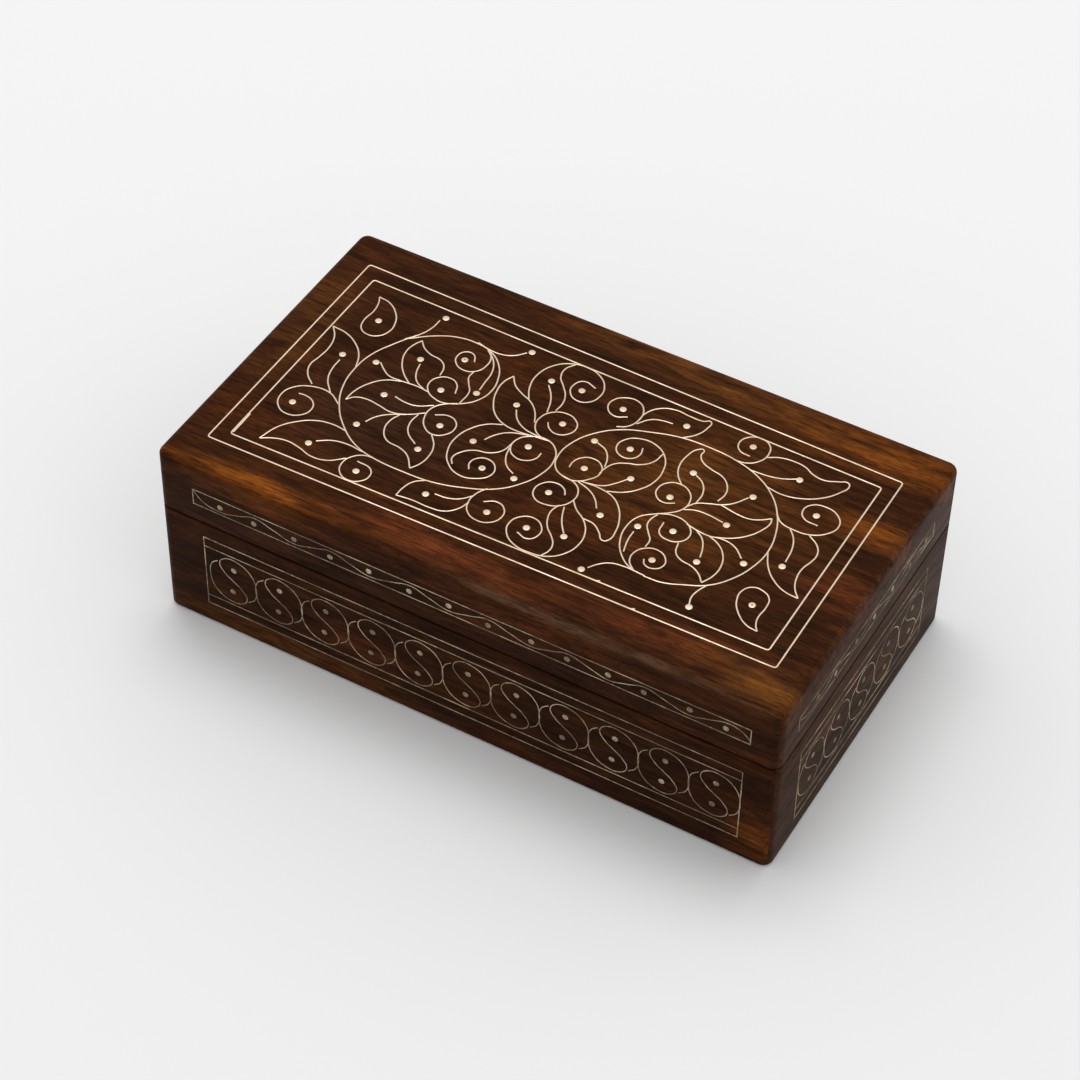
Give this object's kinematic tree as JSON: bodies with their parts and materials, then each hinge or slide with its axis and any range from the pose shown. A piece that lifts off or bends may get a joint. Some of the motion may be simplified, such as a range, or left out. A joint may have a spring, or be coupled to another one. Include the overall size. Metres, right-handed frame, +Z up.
{
  "type": "inlaid wooden box",
  "caption": "Small rectangular rosewood box with a hinged lid, brass scroll and line inlay on the lid and sides, brass hinges behind and a velvet lining.",
  "frame": {"origin": "centre of the base's flat underside", "axes": "+Z up, +X to the right along the long front, -Y towards the front; the hinges are on +Y"},
  "size_m": [0.1016, 0.0593, 0.0322],
  "materials": {
    "rosewood": "dark reddish brown, satin polish, grain along the length",
    "inlay_brass": "pale brass wire, filed flush and polished",
    "hinge_brass": "plain yellow brass, lightly tarnished",
    "velvet": "short maroon velvet pile"
  },
  "bodies": {
    "base": {"base_bottom_board": "rosewood", "base_front_wall": "rosewood", "base_back_wall": "rosewood", "base_left_wall": "rosewood", "base_right_wall": "rosewood", "base_front_frame": "inlay_brass", "base_left_frame": "inlay_brass", "base_right_frame": "inlay_brass", "base_lining": "velvet", "left_hinge_base_leaf": "hinge_brass", "left_hinge_base_nail_1": "hinge_brass", "left_hinge_base_nail_2": "hinge_brass", "left_hinge_pin": "hinge_brass", "right_hinge_base_leaf": "hinge_brass", "right_hinge_base_nail_1": "hinge_brass", "right_hinge_base_nail_2": "hinge_brass", "right_hinge_pin": "hinge_brass"},
    "lid": {"lid_top_board": "rosewood", "lid_front_rim": "rosewood", "lid_back_rim": "rosewood", "lid_left_rim": "rosewood", "lid_right_rim": "rosewood", "lid_outer_border": "inlay_brass", "lid_inner_border": "inlay_brass", "lid_front_frame": "inlay_brass", "lid_left_frame": "inlay_brass", "lid_right_frame": "inlay_brass", "lid_lining": "velvet", "left_hinge_lid_leaf": "hinge_brass", "left_hinge_lid_nail_1": "hinge_brass", "left_hinge_lid_nail_2": "hinge_brass", "right_hinge_lid_leaf": "hinge_brass", "right_hinge_lid_nail_1": "hinge_brass", "right_hinge_lid_nail_2": "hinge_brass"}
  },
  "joints": [
    {"name": "lid_hinge", "type": "hinge", "parent": "base", "child": "lid", "pos_m": [0, 0.02965, 0.021], "axis": [-1, 0, 0], "range_deg": [0, 180]}
  ]
}
